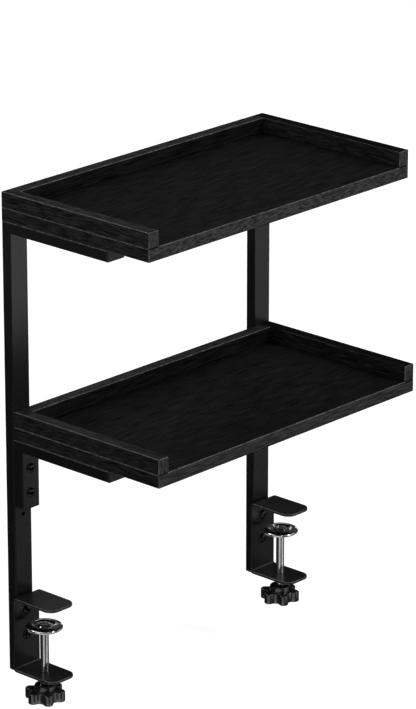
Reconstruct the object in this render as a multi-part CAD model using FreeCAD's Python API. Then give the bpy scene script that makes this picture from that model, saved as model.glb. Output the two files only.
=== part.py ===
import FreeCAD, Part
import math
import os

# Clamp-on desk shelf: two open-fronted wooden trays on two steel tube posts.
# Each post carries a mitred arm under the upper tray and a bolted bracket under
# the lower one, and ends in a screw clamp that grips the back edge of a desk.
#
# Frame: +X to the right, -Y to the front (over the desk), +Z up.
# The origin is where the desk's top back edge sits, midway between the clamps:
# z = 0 is the underside of the upper jaws, y = 0 the inner face of the clamp plates.

# Trays
shelf_width = 420.0
shelf_depth = 220.0
board_thickness = 15.0
rail_height = 18.0
rail_thickness = 15.0
wood_arris = 0.6
shelf_spacing = 250.0

# Dowels that hold the rails on the boards
dowel_radius = 3.0
dowel_depth_in_board = 9.0
dowel_depth_in_rail = 11.0
dowel_end_distance = 30.0
side_rail_dowel_count = 3
back_rail_dowel_count = 4

# Rectangular steel tube
tube_width = 26.0
tube_depth = 13.0
tube_wall = 1.5
tube_corner_radius = 1.2
post_length = 525.0
top_arm_setback = 60.0
bracket_arm_setback = 73.5
bracket_leg_drop = 78.0

# Plastic plugs that close the tube ends
plug_flange = 3.0
plug_edge = 0.8
plug_spigot_length = 10.0
plug_spigot_wall = 1.5
plug_clearance = 0.1

# Wood screws that hold the boards on the arms
wood_screw_radius = 2.0
wood_screw_bite = 11.0
wood_screw_head_radius = 3.8
wood_screw_head_height = 2.2
wood_screw_head_land = 0.4
wood_screw_recess_radius = 1.6
wood_screw_recess_depth = 1.5
wood_screw_back_distance = 45.0
wood_screw_front_distance = 14.0
wood_screws_per_arm = 2

# Machine screws and the rivet nuts that they turn into
machine_screw_radius = 2.5
machine_head_radius = 5.5
machine_head_height = 3.0
machine_head_land = 0.5
machine_hole_clearance = 0.25
socket_across_flats = 3.0
socket_depth = 1.6
rivet_nut_radius = 3.5
rivet_nut_length = 8.0
rivet_nut_head_radius = 4.1
rivet_nut_head_depth = 0.5
rivet_nut_collar_radius = 4.4
rivet_nut_collar_length = 1.6
nut_end_gap = 0.5
bracket_hole_drop = 33.0
bracket_hole_pitch = 29.0
bracket_screw_count = 2
spare_hole_count = 1
clamp_hole_drop = 16.0
clamp_hole_pitch = 30.0
clamp_hole_count = 2

# Bent clamp plates
plate_width = 40.0
plate_thickness = 3.0
plate_edge = 0.4
jaw_gap = 83.0
jaw_reach = 62.0
jaw_corner_radius = 12.0
bend_inner_radius = 2.0
clamp_nut_across_flats = 15.0
clamp_nut_height = 6.0
clamp_nut_edge = 0.8

# Clamp spindle with its swivel pad and knob
spindle_distance = 27.5
spindle_radius = 4.9
spindle_hole_clearance = 0.6
pad_drop = 25.5
pad_radius = 21.0
pad_rim_height = 3.2
pad_rim_width = 5.2
pad_recess_depth = 1.8
pad_floor_thickness = 2.6
pad_collar_radius = 8.0
pad_height = 8.5
pad_edge = 0.8
journal_radius = 3.5
journal_head_radius = 4.6
journal_head_height = 1.2
journal_dimple_radius = 1.3
journal_dimple_depth = 0.6
journal_end_clearance = 0.15
knob_drop = 73.0
knob_radius = 23.4
knob_lobe_count = 6
knob_lobe_radius = 5.6
knob_valley_radius = 16.3
knob_height = 12.5
knob_edge_radius = 1.2
knob_phase = -4.0
knob_foot_radius = 11.0
knob_foot_depth = 0.8
hub_radius = 12.2
hub_draft = 0.4
hub_edge = 0.5
hub_height = 6.0
hub_recess_radius = 9.8
hub_recess_depth = 6.5
spindle_bite = 9.0

# Running and press clearances, and the overrun of every cut
running_clearance = 0.05
seat_clearance = 0.05
overrun = 2.0

# Shares that place the middle point of a rounded profile
dome_radius_share = 0.72
dome_height_share = 0.72

# Sides of a hexagon, and how straight an edge has to lie to count as parallel
hexagon_sides = 6
parallel_share = 0.999

X = FreeCAD.Vector(1, 0, 0)
Y = FreeCAD.Vector(0, 1, 0)
Z = FreeCAD.Vector(0, 0, 1)
ORIGIN = FreeCAD.Vector(0, 0, 0)

# Levels and depths that follow from the sizes
jaw_back_y = plate_thickness
post_front_y = jaw_back_y
post_back_y = post_front_y + tube_depth
post_middle_y = post_front_y + tube_depth / 2
lower_jaw_top_z = -jaw_gap
lower_jaw_bottom_z = lower_jaw_top_z - plate_thickness
post_bottom_z = lower_jaw_bottom_z
upper_board_z = post_bottom_z + post_length
lower_board_z = upper_board_z - shelf_spacing
upper_board_back_y = post_back_y
lower_board_back_y = post_front_y
post_x = shelf_width / 2 - tube_width / 2
top_arm_front_y = upper_board_back_y - shelf_depth + top_arm_setback + plug_flange
bracket_arm_front_y = lower_board_back_y - shelf_depth + bracket_arm_setback + plug_flange
spindle_y = -spindle_distance
pad_top_z = -pad_drop
hub_top_z = pad_top_z - knob_drop
knob_top_z = hub_top_z - hub_height
knob_bottom_z = knob_top_z - knob_height


def vector(x, y, z):
    """A point or a direction."""
    return FreeCAD.Vector(x, y, z)


def block(low, high):
    """A box between two opposite corners."""
    size = [b - a for a, b in zip(low, high)]
    return Part.makeBox(size[0], size[1], size[2], vector(low[0], low[1], low[2]))


def bar(radius, length, start, direction):
    """A round bar from a start point along a direction."""
    return Part.makeCylinder(radius, length, start, direction)


def moved(shape, x, y, z):
    """A copy of a shape at another place."""
    copy = shape.copy()
    copy.translate(vector(x, y, z))
    return copy


def turned(shape, axis, degrees):
    """A copy of a shape turned about an axis through the origin."""
    copy = shape.copy()
    copy.rotate(ORIGIN, axis, degrees)
    return copy


def edges_along(shape, direction):
    """The straight edges of a shape that run along a direction."""
    found = []
    for edge in shape.Edges:
        if edge.Curve.TypeId != "Part::GeomLine":
            continue
        along = edge.tangentAt(edge.FirstParameter)
        if abs(along.dot(direction)) > parallel_share:
            found.append(edge)
    return found


def lathe(edges):
    """A solid of revolution about Z, from the edges of a closed profile in the XZ plane."""
    face = Part.Face(Part.Wire(edges))
    return face.revolve(ORIGIN, Z, 360)


def chain(points):
    """Straight edges from each (radius, height) point to the next."""
    corners = [vector(r, 0, z) for r, z in points]
    return [Part.makeLine(a, b) for a, b in zip(corners, corners[1:])]


def arc(start, middle, end):
    """An arc through three (radius, height) points."""
    ends = [vector(r, 0, z) for r, z in (start, middle, end)]
    return Part.Arc(ends[0], ends[1], ends[2]).toShape()


def polar(radius, angle):
    """A point of the XY plane by radius and angle."""
    return vector(radius * math.cos(angle), radius * math.sin(angle), 0)


def hexagon_corner(across_flats):
    """Distance from a hexagon's middle to its corners."""
    return across_flats / 2 / math.cos(math.pi / hexagon_sides)


def hexagon_bar(across_flats, height):
    """A hexagonal bar that stands on the XY plane."""
    corner = hexagon_corner(across_flats)
    points = [polar(corner, 2 * math.pi * k / hexagon_sides) for k in range(hexagon_sides)]
    return Part.Face(Part.makePolygon(points + points[:1])).extrude(Z * height)


def spread(start, end, count):
    """Evenly spaced places from start to end."""
    step = (end - start) / (count - 1)
    return [start + step * k for k in range(count)]


def row(start, pitch, count):
    """Places that start at one value and follow at a pitch."""
    return [start + pitch * k for k in range(count)]


# Trays: a board with a rail on its left, right and back edges, open at the front

def plank(low, high):
    """A board or rail with its arrises taken off."""
    solid = block(low, high)
    return solid.makeChamfer(wood_arris, solid.Edges)


def side_dowel_ys(back_y):
    """Places of the dowels along a side rail."""
    front_y = back_y - shelf_depth
    return spread(back_y - dowel_end_distance, front_y + dowel_end_distance, side_rail_dowel_count)


def dowel_places(back_y):
    """Places in plan of a tray's dowels, each on the middle line of its rail."""
    side_x = shelf_width / 2 - rail_thickness / 2
    back_end = shelf_width / 2 - rail_thickness - dowel_end_distance
    left = [(-side_x, y) for y in side_dowel_ys(back_y)]
    right = [(side_x, y) for y in side_dowel_ys(back_y)]
    back = [(x, back_y - rail_thickness / 2) for x in spread(-back_end, back_end, back_rail_dowel_count)]
    return {"left": left, "right": right, "back": back}


def dowel_holes(places, board_top_z):
    """The bores that the dowels sit in, through board and rail alike."""
    radius = dowel_radius + seat_clearance
    depth = dowel_depth_in_board + dowel_depth_in_rail + 2 * seat_clearance
    low = board_top_z - dowel_depth_in_board - seat_clearance
    return [bar(radius, depth, vector(x, y, low), Z) for x, y in places]


def arm_screw_ys(arm_front_y):
    """Places of the wood screws along an arm, from near the post to near the arm's front end."""
    back = post_front_y - wood_screw_back_distance
    return spread(back, arm_front_y + wood_screw_front_distance, wood_screws_per_arm)


def wood_screw_bores(x, arm_front_y, board_z):
    """Bores of one arm's wood screws: through the arm, and blind in the board above."""
    radius = wood_screw_radius + seat_clearance
    low = board_z - tube_depth - overrun
    length = tube_depth + overrun + wood_screw_bite + seat_clearance
    return [bar(radius, length, vector(x, y, low), Z) for y in arm_screw_ys(arm_front_y)]


def tray(board_z, back_y, arm_front_y):
    """Board, rails and dowels of one tray, on arms that end at a given place."""
    half = shelf_width / 2
    front_y = back_y - shelf_depth
    top_z = board_z + board_thickness
    rail_z = top_z + rail_height
    inner = half - rail_thickness
    places = dowel_places(back_y)
    every_place = places["left"] + places["right"] + places["back"]
    board = plank((-half, front_y, board_z), (half, back_y, top_z))
    board = board.cut(dowel_holes(every_place, top_z))
    for x in (-post_x, post_x):
        board = board.cut(wood_screw_bores(x, arm_front_y, board_z))
    left = plank((-half, front_y, top_z), (-inner, back_y, rail_z))
    right = plank((inner, front_y, top_z), (half, back_y, rail_z))
    back = plank((-inner, back_y - rail_thickness, top_z), (inner, back_y, rail_z))
    length = dowel_depth_in_board + dowel_depth_in_rail
    low = top_z - dowel_depth_in_board
    dowels = [bar(dowel_radius, length, vector(x, y, low), Z) for x, y in every_place]
    return {
        "board": board,
        "left_rail": left.cut(dowel_holes(places["left"], top_z)),
        "right_rail": right.cut(dowel_holes(places["right"], top_z)),
        "back_rail": back.cut(dowel_holes(places["back"], top_z)),
        "rail_dowels": Part.makeCompound(dowels),
    }


# Tube frame: posts with mitred arms, and brackets that are bolted on

def rounded_bar(width, depth, radius, length):
    """An upright bar with rounded long edges, centred on Z, standing on the XY plane."""
    solid = block((-width / 2, -depth / 2, 0), (width / 2, depth / 2, length))
    return solid.makeFillet(radius, edges_along(solid, Z))


def tube(length):
    """An upright rectangular tube, open at both ends."""
    outside = rounded_bar(tube_width, tube_depth, tube_corner_radius, length)
    bore = block(
        (tube_wall - tube_width / 2, tube_wall - tube_depth / 2, -overrun),
        (tube_width / 2 - tube_wall, tube_depth / 2 - tube_wall, length + overrun),
    )
    return outside.cut(bore)


def mitre_wedge(corner_y, corner_z, sign):
    """All that lies above (sign 1) or below (-1) the 45 degree plane through an outer corner."""
    reach = 2 * tube_depth
    low = vector(0, corner_y - reach, corner_z - reach)
    high = vector(0, corner_y + reach, corner_z + reach)
    if sign > 0:
        third = vector(0, corner_y - reach, corner_z + reach)
    else:
        third = vector(0, corner_y + reach, corner_z - reach)
    face = Part.Face(Part.makePolygon([low, high, third, low]))
    return moved(face.extrude(X * (2 * tube_width)), -tube_width, 0, 0)


def upright(front_y, low_z, top_z):
    """An upright tube whose top end is mitred to meet an arm."""
    solid = moved(tube(top_z - low_z), 0, front_y + tube_depth / 2, low_z)
    return solid.cut(mitre_wedge(front_y + tube_depth, top_z, 1))


def arm(front_y, back_y, top_z):
    """A level tube on the middle plane, mitred at the back, with bores for the wood screws."""
    level = turned(tube(back_y - front_y), X, -90)
    solid = moved(level, 0, front_y, top_z - tube_depth / 2)
    return solid.cut([mitre_wedge(back_y, top_z, -1)] + wood_screw_bores(0, front_y, top_z))


def plug():
    """A tube plug: its flange lies below the XY plane, its hollow spigot stands above it."""
    flange = rounded_bar(tube_width, tube_depth, tube_corner_radius, plug_flange)
    outer_face = min(flange.Faces, key=lambda face: face.CenterOfMass.z)
    flange = moved(flange.makeChamfer(plug_edge, outer_face.Edges), 0, 0, -plug_flange)
    gap = tube_wall + plug_clearance
    outside = (tube_width / 2 - gap, tube_depth / 2 - gap)
    inside = (outside[0] - plug_spigot_wall, outside[1] - plug_spigot_wall)
    spigot = block((-outside[0], -outside[1], 0), (outside[0], outside[1], plug_spigot_length))
    hollow = block((-inside[0], -inside[1], 0), (inside[0], inside[1], plug_spigot_length + overrun))
    return flange.fuse(spigot.cut(hollow)).removeSplitter()


def bracket_hole_zs():
    """Heights of the screws that hold a bracket."""
    return row(lower_board_z - bracket_hole_drop, -bracket_hole_pitch, bracket_screw_count)


def post_hole_zs():
    """Heights of every rivet nut in a post: bracket, spare and clamp."""
    count = bracket_screw_count + spare_hole_count
    bracket = row(lower_board_z - bracket_hole_drop, -bracket_hole_pitch, count)
    return bracket + clamp_hole_zs()


def clamp_hole_zs():
    """Heights of the screws that hold a clamp plate."""
    return row(-clamp_hole_drop, -clamp_hole_pitch, clamp_hole_count)


def rivet_nut_seat():
    """The hole for a rivet nut, with its mouth on the XY plane and its depth below."""
    wide = rivet_nut_head_radius + seat_clearance
    narrow = rivet_nut_radius + seat_clearance
    depth = tube_depth / 2
    mouth = -rivet_nut_head_depth
    return lathe(chain([(0, 0), (wide, 0), (narrow, mouth), (narrow, -depth), (0, -depth), (0, 0)]))


def rivet_nut():
    """A rivet nut: flush head, crimped collar behind the wall, threaded barrel."""
    bore = machine_screw_radius + seat_clearance
    wall_back = -tube_wall - seat_clearance
    collar_end = wall_back - rivet_nut_collar_length
    collar_middle = (wall_back + collar_end) / 2
    return lathe(chain([
        (rivet_nut_radius, wall_back),
        (rivet_nut_collar_radius, collar_middle),
        (rivet_nut_radius, collar_end),
        (rivet_nut_radius, -rivet_nut_length),
        (bore, -rivet_nut_length),
        (bore, 0),
        (rivet_nut_head_radius, 0),
        (rivet_nut_radius, -rivet_nut_head_depth),
        (rivet_nut_radius, wall_back),
    ]))


def post():
    """A post with its mitred top and its rivet nut seats, on the middle plane."""
    solid = upright(post_front_y, post_bottom_z, upper_board_z)
    seat = turned(rivet_nut_seat(), X, 90)
    return solid.cut([moved(seat, 0, post_front_y, z) for z in post_hole_zs()])


def bracket_leg():
    """The upright of a bracket, with the bores for its two screws."""
    leg_front_y = post_front_y - tube_depth
    solid = upright(leg_front_y, lower_board_z - bracket_leg_drop, lower_board_z)
    radius = machine_screw_radius + machine_hole_clearance
    start_y = leg_front_y - overrun
    length = tube_depth + 2 * overrun
    return solid.cut([bar(radius, length, vector(0, start_y, z), Y) for z in bracket_hole_zs()])


def dome_middle(radius, height, land):
    """The middle point of a domed head's round, from its land up to its top."""
    return (radius * dome_radius_share, land + (height - land) * dome_height_share)


def machine_screw(length):
    """A button-head screw: head above the XY plane, plain shank below."""
    land = (machine_head_radius, machine_head_land)
    top = (0, machine_head_height)
    profile = [arc(land, dome_middle(machine_head_radius, machine_head_height, machine_head_land), top)]
    profile += chain([
        top,
        (0, -length),
        (machine_screw_radius, -length),
        (machine_screw_radius, 0),
        (machine_head_radius, 0),
        land,
    ])
    socket = hexagon_bar(socket_across_flats, machine_head_height)
    return lathe(profile).cut(moved(socket, 0, 0, machine_head_height - socket_depth))


def wood_screw():
    """A pan-head wood screw: recessed head below the XY plane, pointed shank above."""
    length = tube_depth + wood_screw_bite
    neck = length - 2 * wood_screw_radius
    middle = dome_middle(wood_screw_head_radius, wood_screw_head_height, wood_screw_head_land)
    land = (wood_screw_head_radius, -wood_screw_head_land)
    recess_rim = (wood_screw_recess_radius, -wood_screw_head_height)
    profile = [arc(land, (middle[0], -middle[1]), recess_rim)]
    profile += chain([
        recess_rim,
        (0, wood_screw_recess_depth - wood_screw_head_height),
        (0, length),
        (wood_screw_radius, neck),
        (wood_screw_radius, 0),
        (wood_screw_head_radius, 0),
        land,
    ])
    return lathe(profile)


# Clamps: a bent plate, a weld nut, and a spindle that carries a swivel pad and a knob

def plate_profile(reach, top_z, bottom_z, radius, back_y):
    """Side view of one skin of the plate: two jaws and a back with rounded bends."""
    low = block((0, back_y - reach, bottom_z), (plate_width, back_y, top_z))
    bends = [edge for edge in edges_along(low, X) if edge.CenterOfMass.y > back_y - reach / 2]
    return low.makeFillet(radius, bends)


def clamp_plate():
    """A bent steel strap: upper jaw, back and lower jaw in one piece, centred on x = 0."""
    outer_radius = bend_inner_radius + plate_thickness
    outside = plate_profile(jaw_reach, plate_thickness, lower_jaw_bottom_z, outer_radius, jaw_back_y)
    inside = plate_profile(jaw_reach + overrun, 0, lower_jaw_top_z, bend_inner_radius, 0)
    strap = moved(outside.cut(inside), -plate_width / 2, 0, 0)
    tip_y = jaw_back_y - jaw_reach
    corners = [edge for edge in edges_along(strap, Z) if edge.CenterOfMass.y < tip_y / 2]
    strap = strap.makeFillet(jaw_corner_radius, corners)
    # Each outline runs on tangentially from a jaw's tip round both jaws and the back.
    tips = [edge for edge in edges_along(strap, X) if edge.CenterOfMass.y < tip_y / 2]
    strap = strap.makeChamfer(plate_edge, tips)
    screw_radius = machine_screw_radius + machine_hole_clearance
    length = plate_thickness + 2 * overrun
    holes = [bar(screw_radius, length, vector(0, -overrun, z), Y) for z in clamp_hole_zs()]
    spindle_hole = spindle_radius + spindle_hole_clearance
    holes.append(bar(spindle_hole, length, vector(0, spindle_y, lower_jaw_bottom_z - overrun), Z))
    return strap.cut(holes)


def clamp_nut():
    """The weld nut under the lower jaw that the spindle turns in."""
    solid = hexagon_bar(clamp_nut_across_flats, clamp_nut_height)
    corner = hexagon_corner(clamp_nut_across_flats)
    keep = lathe(chain([
        (0, 0),
        (corner - clamp_nut_edge, 0),
        (corner, clamp_nut_edge),
        (corner, clamp_nut_height),
        (0, clamp_nut_height),
        (0, 0),
    ]))
    bore_length = clamp_nut_height + 2 * overrun
    bore = bar(spindle_radius + running_clearance, bore_length, vector(0, 0, -overrun), Z)
    return moved(solid.common(keep).cut(bore), 0, spindle_y, lower_jaw_bottom_z - clamp_nut_height)


def pad():
    """The dished swivel pad, with its rim's top on the XY plane and its collar below."""
    bore = journal_radius + running_clearance
    rim_inner = pad_radius - pad_rim_width
    rim_middle = pad_radius - pad_rim_width / 2
    floor_z = -pad_recess_depth
    under_z = floor_z - pad_floor_thickness
    shoulder_z = -pad_rim_height / 2
    profile = chain([
        (pad_radius, shoulder_z),
        (pad_radius - pad_edge, -pad_rim_height),
        (pad_collar_radius + pad_edge, under_z),
        (pad_collar_radius, under_z - pad_edge),
        (pad_collar_radius, -pad_height),
        (bore, -pad_height),
        (bore, floor_z),
        (rim_inner - pad_recess_depth, floor_z),
        (rim_inner, floor_z / 2),
    ])
    profile.append(arc((rim_inner, floor_z / 2), (rim_middle, 0), (pad_radius, shoulder_z)))
    return lathe(profile)


def spindle():
    """The clamp spindle: a smooth shaft, a journal for the pad and a peened head."""
    pad_floor_z = pad_top_z - pad_recess_depth
    pad_bottom_z = pad_top_z - pad_height
    head_low = pad_floor_z + journal_end_clearance
    head_top = head_low + journal_head_height
    shoulder_z = pad_bottom_z - journal_end_clearance
    end_z = hub_top_z - hub_recess_depth - spindle_bite
    dimple_z = head_top - journal_dimple_depth
    profile = chain([
        (journal_dimple_radius, head_top),
        (0, dimple_z),
        (0, end_z),
        (spindle_radius, end_z),
        (spindle_radius, shoulder_z),
        (journal_radius, shoulder_z),
        (journal_radius, head_low),
        (journal_head_radius, head_low),
    ])
    side_width = (journal_head_radius - journal_dimple_radius) * dome_radius_share
    side = (journal_dimple_radius + side_width, head_low + journal_head_height * dome_height_share)
    profile.append(arc((journal_head_radius, head_low), side, (journal_dimple_radius, head_top)))
    return lathe(profile)


def lobed_outline():
    """The knob's plan outline: round lobes joined by tangent hollows, all arcs."""
    lobe_centre = knob_radius - knob_lobe_radius
    half_step = math.pi / knob_lobe_count
    lift = lobe_centre * math.cos(half_step)
    # A hollow's circle touches both lobes beside it and passes through the valley's point.
    chord = lobe_centre ** 2 + knob_valley_radius ** 2 - 2 * knob_valley_radius * lift
    hollow_radius = (chord - knob_lobe_radius ** 2) / (knob_lobe_radius + lift - knob_valley_radius) / 2
    hollow_centre = knob_valley_radius + hollow_radius
    edges = []
    for k in range(knob_lobe_count):
        lobe_angle = 2 * half_step * k + math.radians(knob_phase)
        after = lobe_angle + half_step
        lobe = polar(lobe_centre, lobe_angle)
        next_lobe = polar(lobe_centre, after + half_step)
        hollow = polar(hollow_centre, after)
        start = touch_point(lobe, polar(hollow_centre, lobe_angle - half_step))
        end = touch_point(lobe, hollow)
        next_start = touch_point(next_lobe, hollow)
        edges.append(Part.Arc(start, polar(knob_radius, lobe_angle), end).toShape())
        edges.append(Part.Arc(end, polar(knob_valley_radius, after), next_start).toShape())
    return Part.Wire(edges)


def touch_point(lobe, hollow):
    """Where a lobe's circle touches the hollow's circle beside it."""
    return lobe + (hollow - lobe).normalize() * knob_lobe_radius


def knob():
    """The lobed hand knob with its recessed hub, in place under the lower jaw."""
    grip = moved(Part.Face(lobed_outline()).extrude(Z * knob_height), 0, 0, knob_bottom_z)
    rims = [edge for edge in grip.Edges if edge.BoundBox.ZLength < knob_edge_radius]
    grip = grip.makeFillet(knob_edge_radius, rims)
    recess_z = hub_top_z - hub_recess_depth
    hub = lathe(chain([
        (0, knob_bottom_z + knob_foot_depth),
        (hub_radius, knob_bottom_z + knob_foot_depth),
        (hub_radius, knob_top_z),
        (hub_radius - hub_draft, hub_top_z - hub_edge),
        (hub_radius - hub_draft - hub_edge, hub_top_z),
        (0, hub_top_z),
        (0, knob_bottom_z + knob_foot_depth),
    ]))
    recess = bar(hub_recess_radius, hub_recess_depth + overrun, vector(0, 0, recess_z), Z)
    socket_depth_below = spindle_bite + seat_clearance
    socket_start = vector(0, 0, recess_z - socket_depth_below)
    socket = bar(spindle_radius + seat_clearance, socket_depth_below + overrun, socket_start, Z)
    foot = bar(knob_foot_radius, knob_foot_depth + overrun, vector(0, 0, knob_bottom_z - overrun), Z)
    return grip.fuse(hub).cut([recess, socket, foot]).removeSplitter()


# The whole assembly, node by node

nodes = {}
sides = {"left": -post_x, "right": post_x}

one_wood_screw = wood_screw()

for level, board_z, back_y, front_y in (
    ("upper", upper_board_z, upper_board_back_y, top_arm_front_y),
    ("lower", lower_board_z, lower_board_back_y, bracket_arm_front_y),
):
    for piece, shape in tray(board_z, back_y, front_y).items():
        nodes[level + "_" + piece] = shape
    places = [(x, y) for x in sides.values() for y in arm_screw_ys(front_y)]
    screws = [moved(one_wood_screw, x, y, board_z - tube_depth) for x, y in places]
    nodes[level + "_board_screws"] = Part.makeCompound(screws)

one_post = post()
one_top_arm = arm(top_arm_front_y, post_back_y, upper_board_z)
one_leg = bracket_leg()
one_bracket_arm = arm(bracket_arm_front_y, post_front_y, lower_board_z)
one_plate = clamp_plate()
one_nut = clamp_nut()
one_pad = moved(pad(), 0, spindle_y, pad_top_z)
one_spindle = moved(spindle(), 0, spindle_y, 0)
one_knob = moved(knob(), 0, spindle_y, 0)

for side, x in sides.items():
    nodes[side + "_post"] = moved(one_post, x, 0, 0)
    nodes[side + "_top_arm"] = moved(one_top_arm, x, 0, 0)
    nodes[side + "_bracket_leg"] = moved(one_leg, x, 0, 0)
    nodes[side + "_bracket_arm"] = moved(one_bracket_arm, x, 0, 0)
    nodes[side + "_clamp_plate"] = moved(one_plate, x, 0, 0)
    nodes[side + "_clamp_nut"] = moved(one_nut, x, 0, 0)
    nodes[side + "_pad"] = moved(one_pad, x, 0, 0)
    nodes[side + "_spindle"] = moved(one_spindle, x, 0, 0)
    nodes[side + "_knob"] = moved(one_knob, x, 0, 0)

upright_plug = plug()
level_plug = turned(upright_plug, X, -90)
leg_front_y = post_front_y - tube_depth
leg_middle_y = post_front_y - tube_depth / 2
arm_axis_drop = tube_depth / 2
plug_places = {
    "post_end_plugs": (upright_plug, post_middle_y, post_bottom_z),
    "bracket_leg_end_plugs": (upright_plug, leg_middle_y, lower_board_z - bracket_leg_drop),
    "top_arm_end_plugs": (level_plug, top_arm_front_y, upper_board_z - arm_axis_drop),
    "bracket_arm_end_plugs": (level_plug, bracket_arm_front_y, lower_board_z - arm_axis_drop),
}
for name, (shape, y, z) in plug_places.items():
    nodes[name] = Part.makeCompound([moved(shape, x, y, z) for x in sides.values()])

screw_reach = rivet_nut_length - nut_end_gap
bracket_screw = turned(machine_screw(tube_depth + screw_reach), X, 90)
clamp_plate_screw = turned(machine_screw(plate_thickness + screw_reach), X, 90)
nut_in_post = turned(rivet_nut(), X, 90)
nodes["bracket_screws"] = Part.makeCompound(
    [moved(bracket_screw, x, leg_front_y, z) for x in sides.values() for z in bracket_hole_zs()])
nodes["clamp_plate_screws"] = Part.makeCompound(
    [moved(clamp_plate_screw, x, 0, z) for x in sides.values() for z in clamp_hole_zs()])
nodes["post_rivet_nuts"] = Part.makeCompound(
    [moved(nut_in_post, x, post_front_y, z) for x in sides.values() for z in post_hole_zs()])

os.makedirs("parts", exist_ok=True)
for name, shape in nodes.items():
    shape.exportStep("parts/" + name + ".step")
    solids = shape.Solids
    volume = sum(solid.Volume for solid in solids)
    print(name, "solids", len(solids), "valid", shape.isValid(), "volume", round(volume))
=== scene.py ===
# %% [markdown]
# # A desk shelf that clamps to the back edge of a desk
#
# Two black wooden trays stand one above the other on two posts of rectangular steel tube.
# Each post ends in a bent steel strap with a screw clamp: a chromed spindle with a swivel
# pad above it and a lobed knob below it. The CAD model gives the frame, so every piece made
# here goes where that model says, in metres, with +Z up and -Y to the front, over the desk.

# %% Load the CAD model
import math

import bmesh
import bpy
from mathutils import Matrix, Vector


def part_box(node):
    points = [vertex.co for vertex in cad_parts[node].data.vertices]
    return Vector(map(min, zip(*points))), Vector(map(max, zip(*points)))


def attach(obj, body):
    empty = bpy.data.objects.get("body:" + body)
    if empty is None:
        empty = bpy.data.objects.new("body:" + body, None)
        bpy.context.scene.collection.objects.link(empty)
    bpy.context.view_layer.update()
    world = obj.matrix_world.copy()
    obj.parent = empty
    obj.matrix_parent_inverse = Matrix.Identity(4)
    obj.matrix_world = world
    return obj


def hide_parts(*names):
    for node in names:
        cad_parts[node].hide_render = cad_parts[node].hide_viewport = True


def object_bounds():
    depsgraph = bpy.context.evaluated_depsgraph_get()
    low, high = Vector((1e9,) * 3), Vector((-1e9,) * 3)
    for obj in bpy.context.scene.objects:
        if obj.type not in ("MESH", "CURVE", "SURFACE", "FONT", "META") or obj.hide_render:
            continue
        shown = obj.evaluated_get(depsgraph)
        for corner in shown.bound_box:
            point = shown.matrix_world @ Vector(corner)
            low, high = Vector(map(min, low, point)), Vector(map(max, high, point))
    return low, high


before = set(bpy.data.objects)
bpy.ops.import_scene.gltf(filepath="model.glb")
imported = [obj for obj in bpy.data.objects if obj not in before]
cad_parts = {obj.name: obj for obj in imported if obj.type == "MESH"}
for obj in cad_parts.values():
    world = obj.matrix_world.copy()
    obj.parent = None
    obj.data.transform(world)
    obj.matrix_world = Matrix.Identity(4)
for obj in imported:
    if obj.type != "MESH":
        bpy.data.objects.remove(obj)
cad_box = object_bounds()
mm = 0.001

# %% [markdown]
# ## Camera
#
# The photograph was taken with a long lens from the front left and above. The camera stands
# 4.57 m away, turned 47 degrees to the left of straight ahead and 19 degrees above level.
# A camera looks along its own -Z, so its matrix is built from its right, up and back arrows.

# %% Camera
camera_turn = math.radians(-47.179)
camera_rise = math.radians(19.357)
camera_distance = 4.56877
camera_target = Vector((0, -0.0895, 0.229))
camera_aside = 0.0031
camera_above = 0.02595
camera_lens, film_width = 207.64, 36.0

camera_right = Vector((math.cos(camera_turn), math.sin(camera_turn), 0))
camera_back = Vector((
    math.sin(camera_turn) * math.cos(camera_rise),
    -math.cos(camera_turn) * math.cos(camera_rise),
    math.sin(camera_rise),
))
camera_up = camera_back.cross(camera_right)

camera_data = bpy.data.cameras.new("photo_camera")
camera_data.lens = camera_lens
camera_data.sensor_width = film_width
camera = bpy.data.objects.new("photo_camera", camera_data)
bpy.context.scene.collection.objects.link(camera)
matrix = Matrix((camera_right, camera_up, camera_back)).transposed().to_4x4()
matrix.translation = (
    camera_target
    + camera_right * camera_aside
    + camera_up * camera_above
    + camera_back * camera_distance
)
camera.matrix_world = matrix
bpy.context.scene.camera = camera
print("camera at", [round(x, 3) for x in camera.location])

# %% [markdown]
# ## Studio
#
# The picture has a plain white background. A world that only camera, glossy and transmission
# rays see as white gives that, while the light that reaches the object stays soft and plain.

# %% World
bpy.context.scene.view_settings.view_transform = "Standard"


def link(tree, source, target):
    """Join an output socket to an input socket."""
    tree.links.new(source, target)


def add_node(tree, kind, values):
    """A new shader node, with values for its sockets by name."""
    node = tree.nodes.new("ShaderNode" + kind)
    for socket, value in values.items():
        node.inputs[socket].default_value = value
    return node


def larger(tree, first, second):
    """The larger of two values."""
    node = tree.nodes.new("ShaderNodeMath")
    node.operation = "MAXIMUM"
    link(tree, first, node.inputs[0])
    link(tree, second, node.inputs[1])
    return node.outputs[0]


def seen_rays(tree):
    """1 for camera, glossy and transmission rays, and 0 for the rays that carry soft light."""
    path = tree.nodes.new("ShaderNodeLightPath")
    shiny = larger(tree, path.outputs["Is Glossy Ray"], path.outputs["Is Transmission Ray"])
    return larger(tree, path.outputs["Is Camera Ray"], shiny)


def split_rays(tree, soft, seen, output):
    """One shader for the rays that carry soft light, and another for the rays that are seen."""
    mix = tree.nodes.new("ShaderNodeMixShader")
    link(tree, seen_rays(tree), mix.inputs["Fac"])
    link(tree, soft.outputs[0], mix.inputs[1])
    link(tree, seen.outputs[0], mix.inputs[2])
    link(tree, mix.outputs[0], output.inputs["Surface"])


def grey(value):
    """One grey, as a colour socket takes it."""
    return (value, value, value, 1.0)


soft_strength, white_strength = 0.42, 1.0

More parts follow.
